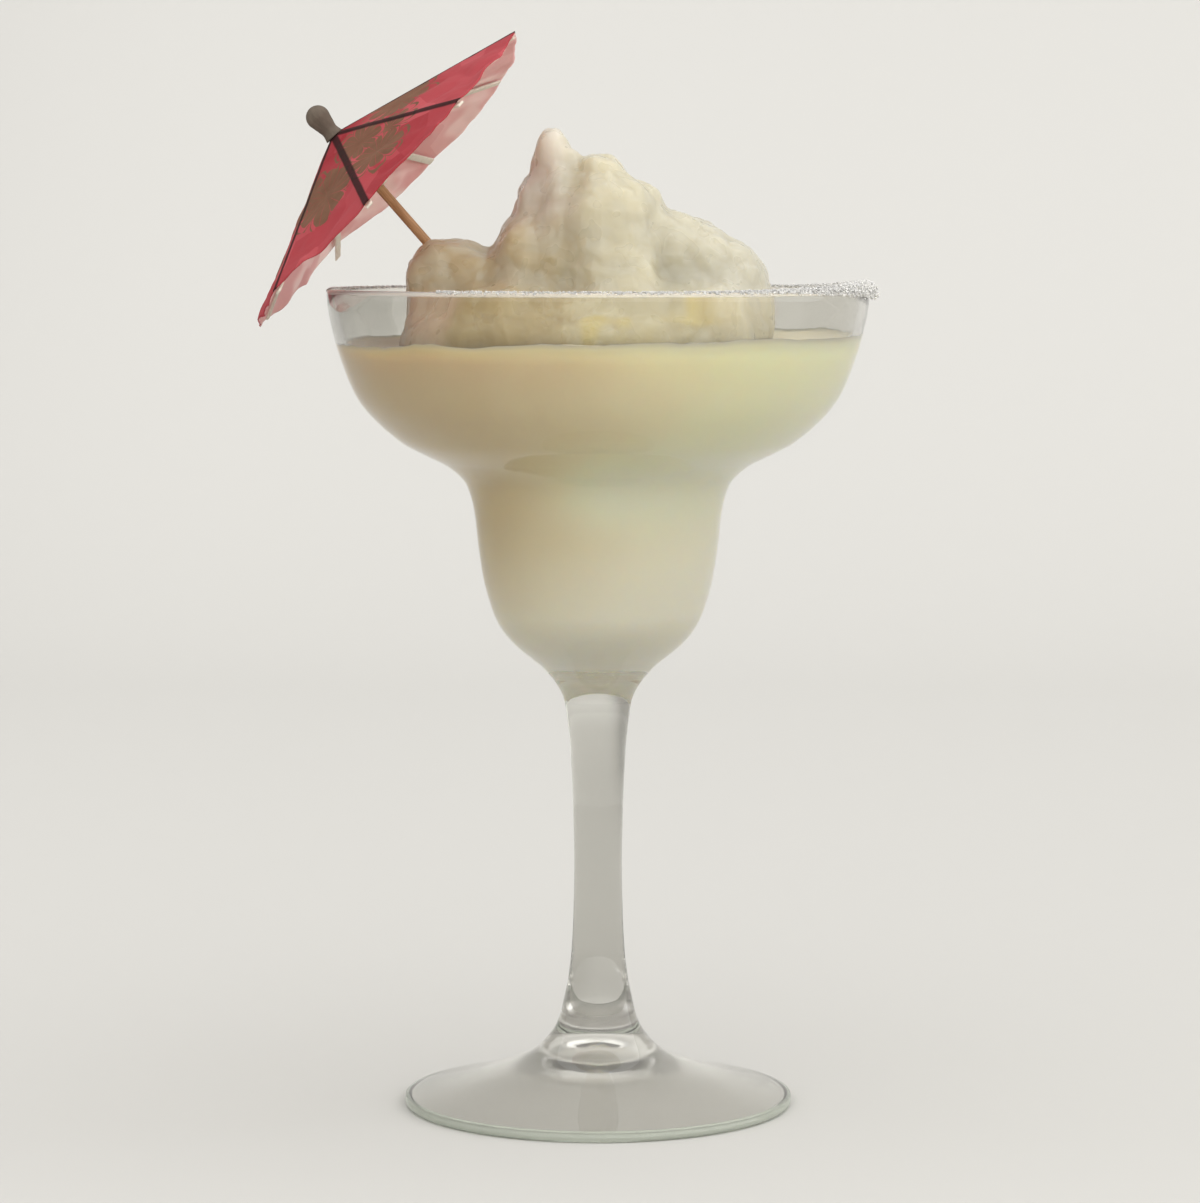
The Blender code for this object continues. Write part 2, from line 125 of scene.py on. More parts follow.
# Centre x, y, z and half sizes x, y, z in millimetres of the lumps that melt together into the heap.
# A squareness of 2 would make them round, and a higher one makes them boxier
LUMP_SQUARENESS = 3.0
LUMPS_MM = (
    (-4, 0, 157, 35.5, 35, 12.5),
    (-30.5, 0, 172, 6.6, 10, 8.4),
    (-35.4, -2, 173.4, 3.5, 7, 3.5),
    (-34, 0, 161, 3.8, 9, 7),
    (-22, 3, 169, 9, 15, 8.6),
    (-16.8, 3, 177, 3.2, 9, 6.6),
    (-12.5, 5, 180, 4.2, 12, 12.2),
    (-9.7, 3, 194, 2.7, 6, 8.6),
    (-6.6, 1, 190, 3.2, 8, 7.0),
    (0.9, -4, 188.5, 3.4, 8, 8.4),
    (4.4, -3, 183, 4.6, 10, 8.8),
    (10.4, -4, 188, 2.0, 5, 2.8),
    (2, -10, 178, 7.2, 10, 12.5),
    (12, -2, 177, 7.5, 12, 9),
    (19, -1, 174, 7.0, 14, 9.9),
    (26, 0, 169.5, 6.0, 15, 10.4),
    (31, 1, 166, 4.8, 13, 9.4),
    (-13, -7, 173, 7, 9, 10),
    (-5, -7, 176, 5, 8, 12),
    (5, -16, 167, 7, 8, 10),
    (-20, -19, 163, 9, 9, 7),
    (22, -18, 164, 8, 8, 7),
    (-8, 23, 167, 11, 8, 9),
    (14, 20, 167, 9, 8, 8),
    (-28, 13, 163, 8, 9, 7),
)
# Size and height of its chipped chunks, of the small chips on them and of its soft swells
CHUNKS = (7.5 * MM, 0.8 * MM)
CHIPS = (4.0 * MM, 0.3 * MM)
SWELLS = (5.0 * MM, 0.3 * MM)
CHIP_EDGE = 1.2
CHIP_SLOPE = 0.9
RELIEF_SWIRL = (12.0 * MM, 2.5 * MM)
RELIEF_SINK = 0.6 * MM
# Between which heights its left turns from tan to rose, and between which places its middle and right start
PEAK_START = (178.0 * MM, 192.0 * MM)
MIDDLE_START = (-11.0 * MM, -2.0 * MM)
RIGHT_START = (2.0 * MM, 34.0 * MM)
# Behind the glass drink has soaked into it: the heights between which that starts, and the places between
# which each colour follows the one at its left
SUNK_START = (RIM_HEIGHT + MM, RIM_HEIGHT - 3 * MM)
OLIVE_START = (-33.0 * MM, -26.0 * MM)
SOAKED_START = (-12.0 * MM, 0.0)
CREAM_START = (18.0 * MM, 30.0 * MM)

# Salt on the rim
SALT_START_DEG = -125.0
SALT_END_DEG = 186.0
SALT_SEED = 7
SALT_THICK = 1.7 * MM
SALT_THICK_DEG = -6.0
SALT_THICK_SPREAD_DEG = 34.0
SALT_GRAINS = 9500
SALT_SCATTER = 0.24
SALT_PATCH_DEG = 5.0
GRAIN_SIZES = (0.18 * MM, 0.46 * MM)
GRAIN_MIDDLE_DEG = 85.0
# How far the salt reaches down either side of the lip, where it is thinnest and where it is thickest
LIP_SALT_DEG = (62.0, 120.0)
CRUST_END_DEG = 76.0
CRUST_STATIONS = 160
CRUST_SECTION = 14
CRUST_SHARE = 0.62
CRUST_INNER_GAP = 0.03 * MM
CRUST_OUTER_GAP = 0.05 * MM

# Umbrella: its tip, and how its stick and its paper lean over to the left of upright and back
UMBRELLA_TIP = (-54.7 * MM, 2.0 * MM, 202.2 * MM)
UMBRELLA_BACK_DEG = 1.0
STICK_LEAN_DEG = 41.2
CANOPY_LEAN_DEG = 48.5
STICK_RADIUS = 1.0 * MM
STICK_LENGTH = 100.0 * MM
STICK_POINT = 5.0 * MM
CANOPY_SLANT = 43.6 * MM
CANOPY_HOLE = 1.5 * MM
PAPER_THICKNESS = 0.25 * MM
PANEL_DIP = 1.6 * MM
EDGE_HOLLOW = 0.05
PANEL_FULLNESS = 0.8
# Size and height of the paper's wide folds and of the finer ones between them
WIDE_CREASES = (11.0 * MM, 2.2 * MM)
FINE_CREASES = (4.5 * MM, 0.7 * MM)
CREASE_SINK = 0.5 * MM
PATCH_SIZE = 8.0 * MM
PANEL_COLUMNS = 28
CANOPY_RINGS = 60
BLOSSOM_SPACING = 14.0 * MM
BLOSSOM_SCATTER = 0.7
BLOSSOM_ZONE = (9.5 * MM, 30.0 * MM)
BLOSSOM_RADII = (5.6 * MM, 7.6 * MM)
BLOSSOM_SCALES = (0.85, 1.15)
PETALS = 8
VEIN_WIDTH = 0.13
VEIN_START = 0.45
OUTLINE_WIDTH = 0.6 * MM
OUTLINE_PLACE = 1.17
# Each rib's turn about the axis from the front, towards the upper right, and its angle from the axis
RIB_TURNS_DEG = (-7.5, 33.0, 80.0, 125.0, 166.0, 206.0, 255.0, 312.0)
RIB_ANGLES_DEG = (67.7, 67.7, 70.5, 66.8, 67.6, 72.5, 71.5, 71.8)
RIB_START = 3.4 * MM
RIB_END = 43.7 * MM
RIB_WIDTH = 1.6 * MM
RIB_THICKNESS = 0.5 * MM
RIB_DROP = 1.0 * MM
# Ribs, numbered from 0, that end further in, and the one whose end has come loose and hangs down
FAR_RIB_ENDS = {2: 42.8 * MM, 3: 42.0 * MM, 4: 42.0 * MM, 6: 42.0 * MM}
LOOSE_RIB = 5
LOOSE_END = 2.2 * MM
STRUT_WIDTH = 1.3 * MM
STRUT_THICKNESS = 0.45 * MM
STRUT_START = 2.7 * MM
STRUT_REACH = 17.0 * MM
STRUT_DROP = 0.9 * MM
RUNNER_DEPTH = 12.5 * MM
RUNNER_HEIGHT = 4.0 * MM
RING_RADIUS = 2.1 * MM
RING_BORE = 1.2 * MM
RING_EDGE = 0.15 * MM
RING_SIDES = 32
HUB_DEPTH = 2.6 * MM
HUB_HEIGHT = 1.8 * MM
KNOB_HEIGHT = 7.2 * MM
KNOB_RADIUS = 2.5 * MM
KNOB_NECK = 2.1 * MM
KNOB_WAIST = 1.75 * MM
KNOB_MIDDLE = 2.0 * MM
KNOB_FOOT = -0.5 * MM
KNOB_SIDES = 48

# Stage, in metres: half its width, its front edge, its backdrop's place, bend and height, and the places from
# left to right between which it grows paler
STAGE_REACH = 4.0
STAGE_FRONT = -6.0
STAGE_BACK = 1.6
STAGE_BEND = 0.8
STAGE_HEIGHT = 3.0
STAGE_SHADE = (-1.1, -0.15)

# Light: the direction it is brightest from, how far along that direction its strength changes, and its
# strengths on the far side and on the bright side
LIGHT_LEAN = (0.72, -0.5, 0.48)
LIGHT_SPREAD = 0.8
LIGHT_STRENGTHS = (0.7, 1.8)
LIGHT_COLOUR = (1.0, 0.99, 0.97, 1.0)


def picture_colour(red, green, blue):
    """A colour of 0 to 255, as a picture shows it, as the linear colour that a shader takes."""
    shares = [value / 255 for value in (red, green, blue)]
    return (*[s / 12.92 if s <= 0.04045 else ((s + 0.055) / 1.055) ** 2.4 for s in shares], 1.0)


class Shading:
    """One material's node tree. A value given to an input is a number, a colour or another node's output."""

    def __init__(self, name, own_axes=False):
        """With own_axes, places are those kept by settle, and not places in the frame."""
        self.material = bpy.data.materials.new(name)
        self.material.use_nodes = True
        self.tree = self.material.node_tree
        self.shader = self.tree.nodes["Principled BSDF"]
        if own_axes:
            self.place = self.add("ShaderNodeAttribute", attribute_name=OWN_PLACE).outputs["Vector"]
        else:
            self.place = self.add("ShaderNodeTexCoord").outputs["Object"]

    def put(self, socket, value):
        if isinstance(value, bpy.types.NodeSocket):
            self.tree.links.new(value, socket)
        else:
            socket.default_value = value

    def add(self, kind, inputs=None, **settings):
        node = self.tree.nodes.new(kind)
        for name, value in settings.items():
            setattr(node, name, value)
        for name, value in (inputs or {}).items():
            self.put(node.inputs[name], value)
        return node

    def surface(self, **inputs):
        """Sets the shader's inputs, given by their names with underscores for spaces."""
        for name, value in inputs.items():
            self.put(self.shader.inputs[name.replace("_", " ")], value)
        return self.material

    def noise(self, size, detail=2.0, roughness=0.5, place=None):
        """Noise from 0 to 1 whose lumps are about the size across."""
        inputs = {"Vector": place or self.place, "Scale": 1 / size, "Detail": detail, "Roughness": roughness}
        return self.add("ShaderNodeTexNoise", inputs).outputs[0]

    def math(self, operation, *values):
        node = self.add("ShaderNodeMath", operation=operation)
        for socket, value in zip(node.inputs, values):
            self.put(socket, value)
        return node.outputs[0]

    def ranged(self, value, low, high, to_low=0.0, to_high=1.0):
        """The value's place between low and high, smoothly, as a number between the other two."""
        inputs = {"Value": value, "From Min": low, "From Max": high, "To Min": to_low, "To Max": to_high}
        node = self.add("ShaderNodeMapRange", inputs, interpolation_type="SMOOTHSTEP")
        return node.outputs[0]

    def mix(self, share, first, second):
        node = self.add("ShaderNodeMix", data_type="RGBA")
        for index, value in ((0, share), (6, first), (7, second)):
            self.put(node.inputs[index], value)
        return node.outputs[2]

    def vector(self, operation, *values):
        """What an operation on vectors gives: a length as a number, and anything else as a vector."""
        node = self.add("ShaderNodeVectorMath", dict(enumerate(values)), operation=operation)
        return node.outputs["Value" if operation == "LENGTH" else "Vector"]

    def axes(self, place=None):
        node = self.add("ShaderNodeSeparateXYZ", {"Vector": place or self.place})
        return node.outputs

    def flat_place(self):
        """The place with its z left out."""
        x, y, _ = self.axes()
        return self.add("ShaderNodeCombineXYZ", {"X": x, "Y": y}).outputs[0]

    def stretched(self, x, y, z):
        return self.add("ShaderNodeMapping", {"Vector": self.place, "Scale": (x, y, z)}).outputs[0]

    def bump(self, height, depth, strength=1.0):
        inputs = {"Height": height, "Distance": depth, "Strength": strength}
        return self.add("ShaderNodeBump", inputs).outputs[0]


def smooth_line(points, steps):
    """Points along a curve that passes through every given (radius, height)."""
    ends = [2 * points[0] - points[1], *points, 2 * points[-1] - points[-2]]
    line = []
    for before, start, end, after in zip(ends, ends[1:], ends[2:], ends[3:]):
        for step in range(steps):
            t = step / steps
            bend = 2 * before - 5 * start + 4 * end - after
            twist = 3 * (start - end) + after - before
            line.append(start + 0.5 * t * (end - before + t * (bend + t * twist)))
    line.append(points[-1])
    return line


def thin_out(line, tolerance):
    """Drops the points that lie within the tolerance of the straight line between those kept."""
    start, end = line[0], line[-1]
    along = (end - start).normalized()
    offsets = [abs((point - start).cross(along)) for point in line]
    worst = max(range(len(line)), key=offsets.__getitem__)
    if offsets[worst] <= tolerance:
        return [start, end]
    return thin_out(line[: worst + 1], tolerance)[:-1] + thin_out(line[worst:], tolerance)


def arc(centre, radius, start_deg, end_deg, steps):
    turns = [math.radians(start_deg + (end_deg - start_deg) * i / steps) for i in range(steps + 1)]
    return [centre + radius * Vector((math.cos(turn), math.sin(turn))) for turn in turns]


def outside_line():
    return smooth_line([Vector(point) * MM for point in OUTSIDE_MM], CURVE_STEPS)


def inside_line(inset=0.0):
    """The bowl's inside from the lip down to the floor's centre, moved inwards by the inset."""
    outside = outside_line()
    line = []
    for before, point, after in zip(outside, outside[1:], outside[2:]):
        if point.y < BOWL_FLOOR_START:
            break
        share = (RIM_HEIGHT - point.y) / (RIM_HEIGHT - BOWL_FLOOR_START)
        wall = LIP_WALL + (BOWL_WALL - LIP_WALL) * share + inset
        along = (after - before).normalized()
        line.append(point + wall * Vector((along.y, -along.x)))
    corner = line[-1]
    floor = BOWL_FLOOR_HEIGHT + inset
    for step in range(1, CURVE_STEPS + 1):
        turn = math.pi / 2 * step / CURVE_STEPS
        line.append(Vector((corner.x * math.cos(turn), floor + (corner.y - floor) * (1 - math.sin(turn)))))
    return line


def lip_centre():
    """The middle of the rounded lip's section, as (radius, height)."""
    return Vector((RIM_RADIUS - LIP_WALL / 2, RIM_HEIGHT - LIP_WALL / 2))


def smooth_piece(name, verts, faces):
    mesh = bpy.data.meshes.new(name)
    mesh.from_pydata([tuple(vert) for vert in verts], [], faces)
    mesh.validate()
    mesh.shade_smooth()
    return link_piece(name, mesh)


def link_piece(name, mesh):
    piece = bpy.data.objects.new(name, mesh)
    bpy.context.scene.collection.objects.link(piece)
    return piece


def piece_from(name, shape):
    """The piece of a bmesh, which is freed."""
    bmesh.ops.recalc_face_normals(shape, faces=shape.faces[:])
    mesh = bpy.data.meshes.new(name)
    shape.to_mesh(mesh)
    shape.free()
    mesh.shade_smooth()
    return link_piece(name, mesh)


def turned(name, outline, sides):
    """A solid of revolution about the z axis.

    Its outline of (radius, height) runs from the axis to the axis, or is closed on itself.
    """
    shape = bmesh.new()
    verts = [shape.verts.new((point[0], 0.0, point[1])) for point in outline]
    edges = [shape.edges.new(pair) for pair in zip(verts, verts[1:])]
    bmesh.ops.spin(shape, geom=verts + edges, cent=(0, 0, 0), axis=(0, 0, 1), angle=2 * math.pi, steps=sides)
    bmesh.ops.remove_doubles(shape, verts=shape.verts[:], dist=0.002 * MM)
    return piece_from(name, shape)


def settle(piece, place):
    """Keeps each point's own place for the materials, then moves the mesh to its place in the frame."""
    own = np.empty(3 * len(piece.data.vertices))
    piece.data.vertices.foreach_get("co", own)
    piece.data.attributes.new(OWN_PLACE, "FLOAT_VECTOR", "POINT").data.foreach_set("vector", own)
    piece.data.transform(place)


def dress(piece, material, slot, *replaced):
    """Gives the piece its material and body, and hides the CAD nodes that it stands for."""
    piece.data.materials.append(material)
    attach(piece, BODY)
    if replaced:
        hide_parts(*replaced)


def glass_material():
    shading = Shading("clear_glass_look")
    smear = shading.noise(9 * MM, 3.0, 0.6)
    x, _, z = shading.axes()
    foot, stem, bowl = (picture_colour(*c) for c in ((250, 250, 246), (205, 204, 198), (251, 251, 248)))
    shaded_lip_left, shaded_lip_right = picture_colour(218, 217, 212), picture_colour(233, 232, 227)
    # Painted shade: the glass over the drink is tinted darker than below it, and darker at the left
    lip = shading.mix(shading.ranged(x, *LIP_SHADE_SPAN), shaded_lip_left, shaded_lip_right)
    lower = shading.mix(shading.ranged(z, *FOOT_TO_STEM), foot, stem)
    upper = shading.mix(shading.ranged(z, DRINK_LEVEL - 2 * MM, DRINK_LEVEL + MM), bowl, lip)
    return shading.surface(
        Base_Color=shading.mix(shading.ranged(z, *STEM_TO_BOWL), lower, upper),
        Transmission_Weight=1.0,
        IOR=1.5,
        Roughness=shading.ranged(smear, 0.5, 0.75, 0.0, 0.06),
        Normal=shading.bump(shading.noise(14 * MM, 1.0), 0.02 * MM, 0.5),
    )


def worn_glass_material():
    """Hazy glass for the foot's underside, its greenish edge, and the lip."""
    shading = Shading("worn_glass_look")
    outwards = shading.ranged(shading.vector("LENGTH", shading.flat_place()), *FOOT_EDGE_TINT)
    low = shading.math("LESS_THAN", shading.axes()[2], 2 * FOOT_EDGE)
    foot_edge = shading.math("MULTIPLY", outwards, low)
    haze = shading.noise(3 * MM, 4.0, 0.6)
    colour = shading.mix(haze, picture_colour(248, 245, 239), picture_colour(254, 252, 248))
    return shading.surface(
        Base_Color=shading.mix(foot_edge, colour, picture_colour(202, 211, 196)),
        Transmission_Weight=0.7,
        IOR=1.5,
        Roughness=0.12,
    )


def foot_underside():
    """From the foot's edge over the ring it stands on to the dome in the middle of its hollow."""
    edge = FOOT_EDGE / 2
    line = arc(Vector((FOOT_RADIUS - edge, edge)), edge, *FOOT_EDGE_DEG, FOOT_EDGE_STEPS)
    return line + smooth_line([Vector(point) * MM for point in UNDERSIDE_MM], UNDERSIDE_STEPS)


def make_glass():
    inside = thin_out(inside_line(), CURVE_TOLERANCE)
    outside = thin_out(outside_line()[:-1], CURVE_TOLERANCE)
    lip = arc(lip_centre(), LIP_WALL / 2, *LIP_DEG, LIP_STEPS)
    glass = turned("glass_body", inside[::-1] + lip + outside + foot_underside(), GLASS_SIDES)
    dress(glass, glass_material(), "clear_glass", "glass")
    glass.data.materials.append(worn_glass_material())
    for face in glass.data.polygons:
        under = face.normal.z < 0 and face.center.z < UNDERSIDE_TOP
        on_edge = face.center.z < FOOT_EDGE * 1.3 and face.center.xy.length > FOOT_RADIUS - FOOT_EDGE
        on_lip = face.center.z > RIM_HEIGHT - LIP_WALL * 0.7
        face.material_index = int(under or on_edge or on_lip)


def drink_material():
    shading = Shading("drink_look")
    x, _, z = shading.axes()
    # Painted shade: the drink's sides and open top are coloured darker at the left and paler at the right
    cloud = shading.math("MULTIPLY_ADD", shading.noise(16 * MM, 2.0), 24 * MM, -12 * MM)
    side = shading.ranged(shading.math("ADD", x, cloud), *DRINK_SHADE_SPAN)
    left, right, haze = (picture_colour(*c) for c in ((220, 200, 158), (254, 249, 216), (245, 241, 224)))
    # Painted light: a brighter band around the neck under the wide bowl, paler at the right
    neck_light_left, neck_light_right = picture_colour(228, 210, 166), picture_colour(255, 251, 224)
    # Paler towards the bottom and the right: haze, with a painted soft highlight
    low = shading.ranged(shading.math("MULTIPLY_ADD", x, -0.5, z), *DRINK_HAZE_AND_HIGHLIGHT)
    from_neck = shading.math("ABSOLUTE", shading.math("SUBTRACT", z, NECK_LIGHT_HEIGHT))
    neck_light_share = shading.ranged(from_neck, *NECK_LIGHT_REACH)
    neck = shading.mix(shading.ranged(x, *NECK_LIGHT_SIDE), neck_light_left, neck_light_right)
    colour = shading.mix(neck_light_share, shading.mix(side, left, right), neck)
    facing = shading.add("ShaderNodeNewGeometry").outputs["Normal"]
    on_top = shading.ranged(shading.axes(facing)[2], *DRINK_TOP_FACING)
    top = shading.mix(side, picture_colour(204, 188, 152), picture_colour(222, 214, 186))
    return shading.surface(
        Base_Color=shading.mix(on_top, shading.mix(low, colour, haze), top),
        Roughness=0.4,
        Subsurface_Weight=1.0,
        Subsurface_Radius=(1.0, 0.9, 0.7),
        Subsurface_Scale=5 * MM,
        Normal=shading.bump(shading.noise(1.6 * MM, 3.0, 0.6), 0.1 * MM, 0.4),
    )


def drink_height(x, y):
    """Height of the drink's uneven top."""
    wave = noise.noise(Vector((x, y, 0)) / DRINK_WAVE[0]) * DRINK_WAVE[1]
    grain = noise.noise(Vector((x, y, 1)) / DRINK_GRAIN[0]) * DRINK_GRAIN[1]
    return DRINK_LEVEL + DRINK_TILT * x + wave + grain


def make_drink():
    wall = inside_line(-DRINK_IN_WALL)
    heights, radii = [point.y for point in wall][::-1], [point.x for point in wall][::-1]
    below = [point for point in wall if point.y < DRINK_LEVEL - DRINK_EDGE]
    rim_radius = float(np.interp(DRINK_LEVEL, heights, radii))
    top = [Vector((rim_radius * ring / DRINK_RINGS, DRINK_LEVEL)) for ring in range(DRINK_RINGS + 1)]
    drink = turned("drink_body", top + thin_out(below, CURVE_TOLERANCE), GLASS_SIDES)
    for vert in drink.data.vertices:
        if vert.co.z > DRINK_LEVEL - MM:
            radius = math.hypot(vert.co.x, vert.co.y)
            climb = MENISCUS_HEIGHT * math.exp((radius - rim_radius) / MENISCUS_WIDTH)
            vert.co.z = drink_height(vert.co.x, vert.co.y) + climb
            if radius > rim_radius - 0.1 * MM:
                stretch = float(np.interp(vert.co.z, heights, radii)) / radius
                vert.co.x *= stretch
                vert.co.y *= stretch
    dress(drink, drink_material(), "drink_slush", "drink")


def lump_depth(points):
    """How far each point lies inside the melted lumps, in metres: above zero is inside."""
    total = np.zeros(len(points))
    for lump in LUMPS_MM:
        centre = np.array(lump[:3]) * MM
        half = np.array(lump[3:]) * MM
        scaled = np.linalg.norm((points - centre) / half, ord=LUMP_SQUARENESS, axis=1)
        total += np.exp((1.0 - scaled) * half.min() / MOUND_BLEND)
    return MOUND_BLEND * np.log(total)


def mound_distance(directions, centre):
    """Distance from the centre to the heap's surface along each direction, found from outside inwards."""
    reach = np.full(len(directions), MOUND_REACH)
    outside = np.arange(len(directions))
    while len(outside):
        points = centre + directions[outside] * reach[outside, None]
        outside = outside[(lump_depth(points) < 0) & (reach[outside] > MOUND_STEP)]
        reach[outside] -= MOUND_STEP
    for halving in range(1, MOUND_HALVINGS + 1):
        step = MOUND_STEP / 2**halving
        further = centre + directions * (reach + step)[:, None]
        reach[lump_depth(further) >= 0] += step
    return reach


def facets(place, size, height):
    """Flat chips with slanted sides: their height on their flat tops, and less in the furrows."""
    near = noise.voronoi(place / size, distance_metric="MANHATTAN")[0][0]
    return height * min((CHIP_EDGE - near) / CHIP_SLOPE, 1)


def slush_relief(place):
    """How far the icy crust stands out at a place: chipped chunks, small chips on them, and soft swells."""
    swirl_size, swirl_reach = RELIEF_SWIRL
    swirled = place + noise.noise_vector(place / swirl_size) * swirl_reach
    swell_size, swell_height = SWELLS
    swell = swell_height * noise.noise(place / swell_size)
    return facets(swirled, *CHUNKS) + facets(swirled, *CHIPS) + swell - RELIEF_SINK


def mound_material():
    shading = Shading("mound_look")
    x, _, z = shading.axes()
    cloud = shading.math("MULTIPLY_ADD", shading.noise(7 * MM, 3.0), 10 * MM, -5 * MM)
    across = shading.math("ADD", x, cloud)
    tan, rose, cream, ice = (
        picture_colour(*c) for c in ((182, 168, 136), (208, 200, 186), (196, 189, 164), (192, 188, 171))
    )
    left = shading.mix(shading.ranged(shading.math("ADD", z, cloud), *PEAK_START), tan, rose)
    right = shading.mix(shading.ranged(across, *RIGHT_START), cream, ice)
    chunk = shading.ranged(shading.noise(6 * MM, 1.0), 0.42, 0.62, 0.0, 0.35)
    colour = shading.mix(chunk, shading.mix(shading.ranged(across, *MIDDLE_START), left, right), ice)
    sunk = shading.ranged(z, *SUNK_START, 0.0, 0.85)
    return shading.surface(
        Base_Color=shading.mix(sunk, colour, sunk_colour(shading, across)),
        Roughness=shading.ranged(shading.noise(4 * MM, 1.0), 0.3, 0.7, 0.25, 0.4),
        Subsurface_Weight=1.0,
        Subsurface_Radius=(1.0, 0.93, 0.8),
        Subsurface_Scale=11 * MM,
        Transmission_Weight=0.12,
        IOR=1.36,
        Coat_Weight=0.25,
        Coat_Roughness=0.15,
        Normal=shading.bump(shading.noise(1.6 * MM, 1.0), 0.05 * MM, 0.1),
    )


def sunk_colour(shading, across):
    """Colour of the heap behind the glass, from pink and olive at its left to cream at its right."""
    pink, olive, cream, yellow = (
        picture_colour(*c) for c in ((226, 204, 174), (176, 158, 112), (200, 190, 156), (208, 192, 132))
    )
    soaked = shading.mix(shading.ranged(shading.noise(9 * MM, 1.0), 0.5, 0.64), cream, yellow)
    left = shading.mix(shading.ranged(across, *OLIVE_START), pink, olive)
    middle = shading.mix(shading.ranged(across, *SOAKED_START), left, soaked)
    return shading.mix(shading.ranged(across, *CREAM_START), middle, picture_colour(222, 214, 190))


def make_mound():
    """Half a ball whose points move out to the melted lumps, then along their normals for the relief."""
    shape = bmesh.new()
    bmesh.ops.create_icosphere(shape, subdivisions=MOUND_DETAIL, radius=1.0)
    whole = shape.verts[:] + shape.edges[:] + shape.faces[:]
    down = (0, 0, -1)
    bmesh.ops.bisect_plane(shape, geom=whole, dist=1e-5, plane_co=(0, 0, 0), plane_no=down, clear_outer=True)
    rim = [edge for edge in shape.edges if edge.is_boundary]
    bmesh.ops.contextual_create(shape, geom=rim)
    directions = np.array([vert.co.normalized() for vert in shape.verts])
    centre = np.array(MOUND_CENTRE)
    for vert, direction, distance in zip(shape.verts, directions, mound_distance(directions, centre)):
        vert.co = Vector(centre + direction * distance)
    shape.normal_update()
    moves = [(vert, vert.co + vert.normal * slush_relief(vert.co)) for vert in shape.verts]
    for vert, place in moves:
        vert.co = place
    dress(piece_from("mound_body", shape), mound_material(), "mound_slush", "slush_mound")


def salt_material():
    shading = Shading("salt_look")
    cloud = shading.noise(0.8 * MM, 2.0)
    return shading.surface(
        Base_Color=shading.mix(cloud, picture_colour(236, 233, 226), picture_colour(252, 251, 248)),
        Roughness=0.3,
        IOR=1.54,
        Transmission_Weight=0.25,
        Subsurface_Weight=0.8,
        Subsurface_Radius=(1.0, 1.0, 0.95),
        Subsurface_Scale=0.8 * MM,
        Normal=shading.bump(cloud, 0.05 * MM, 0.5),
    )


def salt_depth(turn_deg):
    """How thick the crust is over the lip, from 0 to 1."""
    return math.exp(-(((turn_deg - SALT_THICK_DEG) / SALT_THICK_SPREAD_DEG) ** 2))


def lip_point(turn_deg, angle_deg, reach):
    """The point at the reach from the lip's middle line, at an angle up from outwards."""
    turn, angle, centre = math.radians(turn_deg), math.radians(angle_deg), lip_centre()
    radius = centre.x + reach * math.cos(angle)
    return Vector((radius * math.cos(turn), radius * math.sin(turn), centre.y + reach * math.sin(angle)))


def crust_mesh():
    """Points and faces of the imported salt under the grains: a crescent over the lip, thin at its ends."""
    verts, faces = [], []
    shares = [2 * step / (CRUST_SECTION - 1) - 1 for step in range(CRUST_SECTION)]
    for station in range(CRUST_STATIONS):
        turn_deg = SALT_THICK_DEG + CRUST_END_DEG * (2 * station / (CRUST_STATIONS - 1) - 1)
        depth = salt_depth(turn_deg)
        angles = [90 + LIP_SALT_DEG[1] * math.sqrt(depth) * share for share in shares]
        inner = [lip_point(turn_deg, angle, LIP_WALL / 2 + CRUST_INNER_GAP) for angle in angles]
        for angle, share, place in zip(angles, shares, inner):
            rough = 0.7 + 0.4 * noise.noise(place / (1.6 * MM)) + 0.3 * noise.noise(place / (0.7 * MM))
            thick = SALT_THICK * CRUST_SHARE * depth * rough * math.sqrt(1 - share * share)
            verts.append(lip_point(turn_deg, angle, LIP_WALL / 2 + CRUST_OUTER_GAP + thick))
        verts += inner[::-1]
    size = 2 * CRUST_SECTION
    for start in range(0, (CRUST_STATIONS - 1) * size, size):
        for i in range(size):
            j = (i + 1) % size
            faces.append((start + i, start + j, start + size + j, start + size + i))
    faces.append(tuple(range(size))[::-1])
    faces.append(tuple(range(len(verts) - size, len(verts))))
    return verts, faces


def grain_corners(dice, turn_deg, depth):
    """Corners of one crystal on the lip, or in the crust where there is one."""
    size = dice.triangular(*GRAIN_SIZES) / 2 * (0.8 + 0.2 * depth)
    reach = LIP_WALL / 2 + size * 0.6 + SALT_THICK * depth * dice.uniform(0.3, 1) ** 1.3
    thin, thick = LIP_SALT_DEG
    down = thin + (thick - thin) * depth
    angle = dice.triangular(GRAIN_MIDDLE_DEG - down, GRAIN_MIDDLE_DEG + down, GRAIN_MIDDLE_DEG)
    spin = Matrix.Rotation(dice.uniform(0, math.tau), 3, Vector([dice.gauss(0, 1) for _ in range(3)]))
    stretch = Vector([size * dice.uniform(0.7, 1.3) for _ in range(3)])
    place = lip_point(turn_deg, angle, reach)
    corners = [Vector((x, y, z)) for x in (-1, 1) for y in (-1, 1) for z in (-1, 1)]
    return [place + spin @ (corner * stretch) for corner in corners]


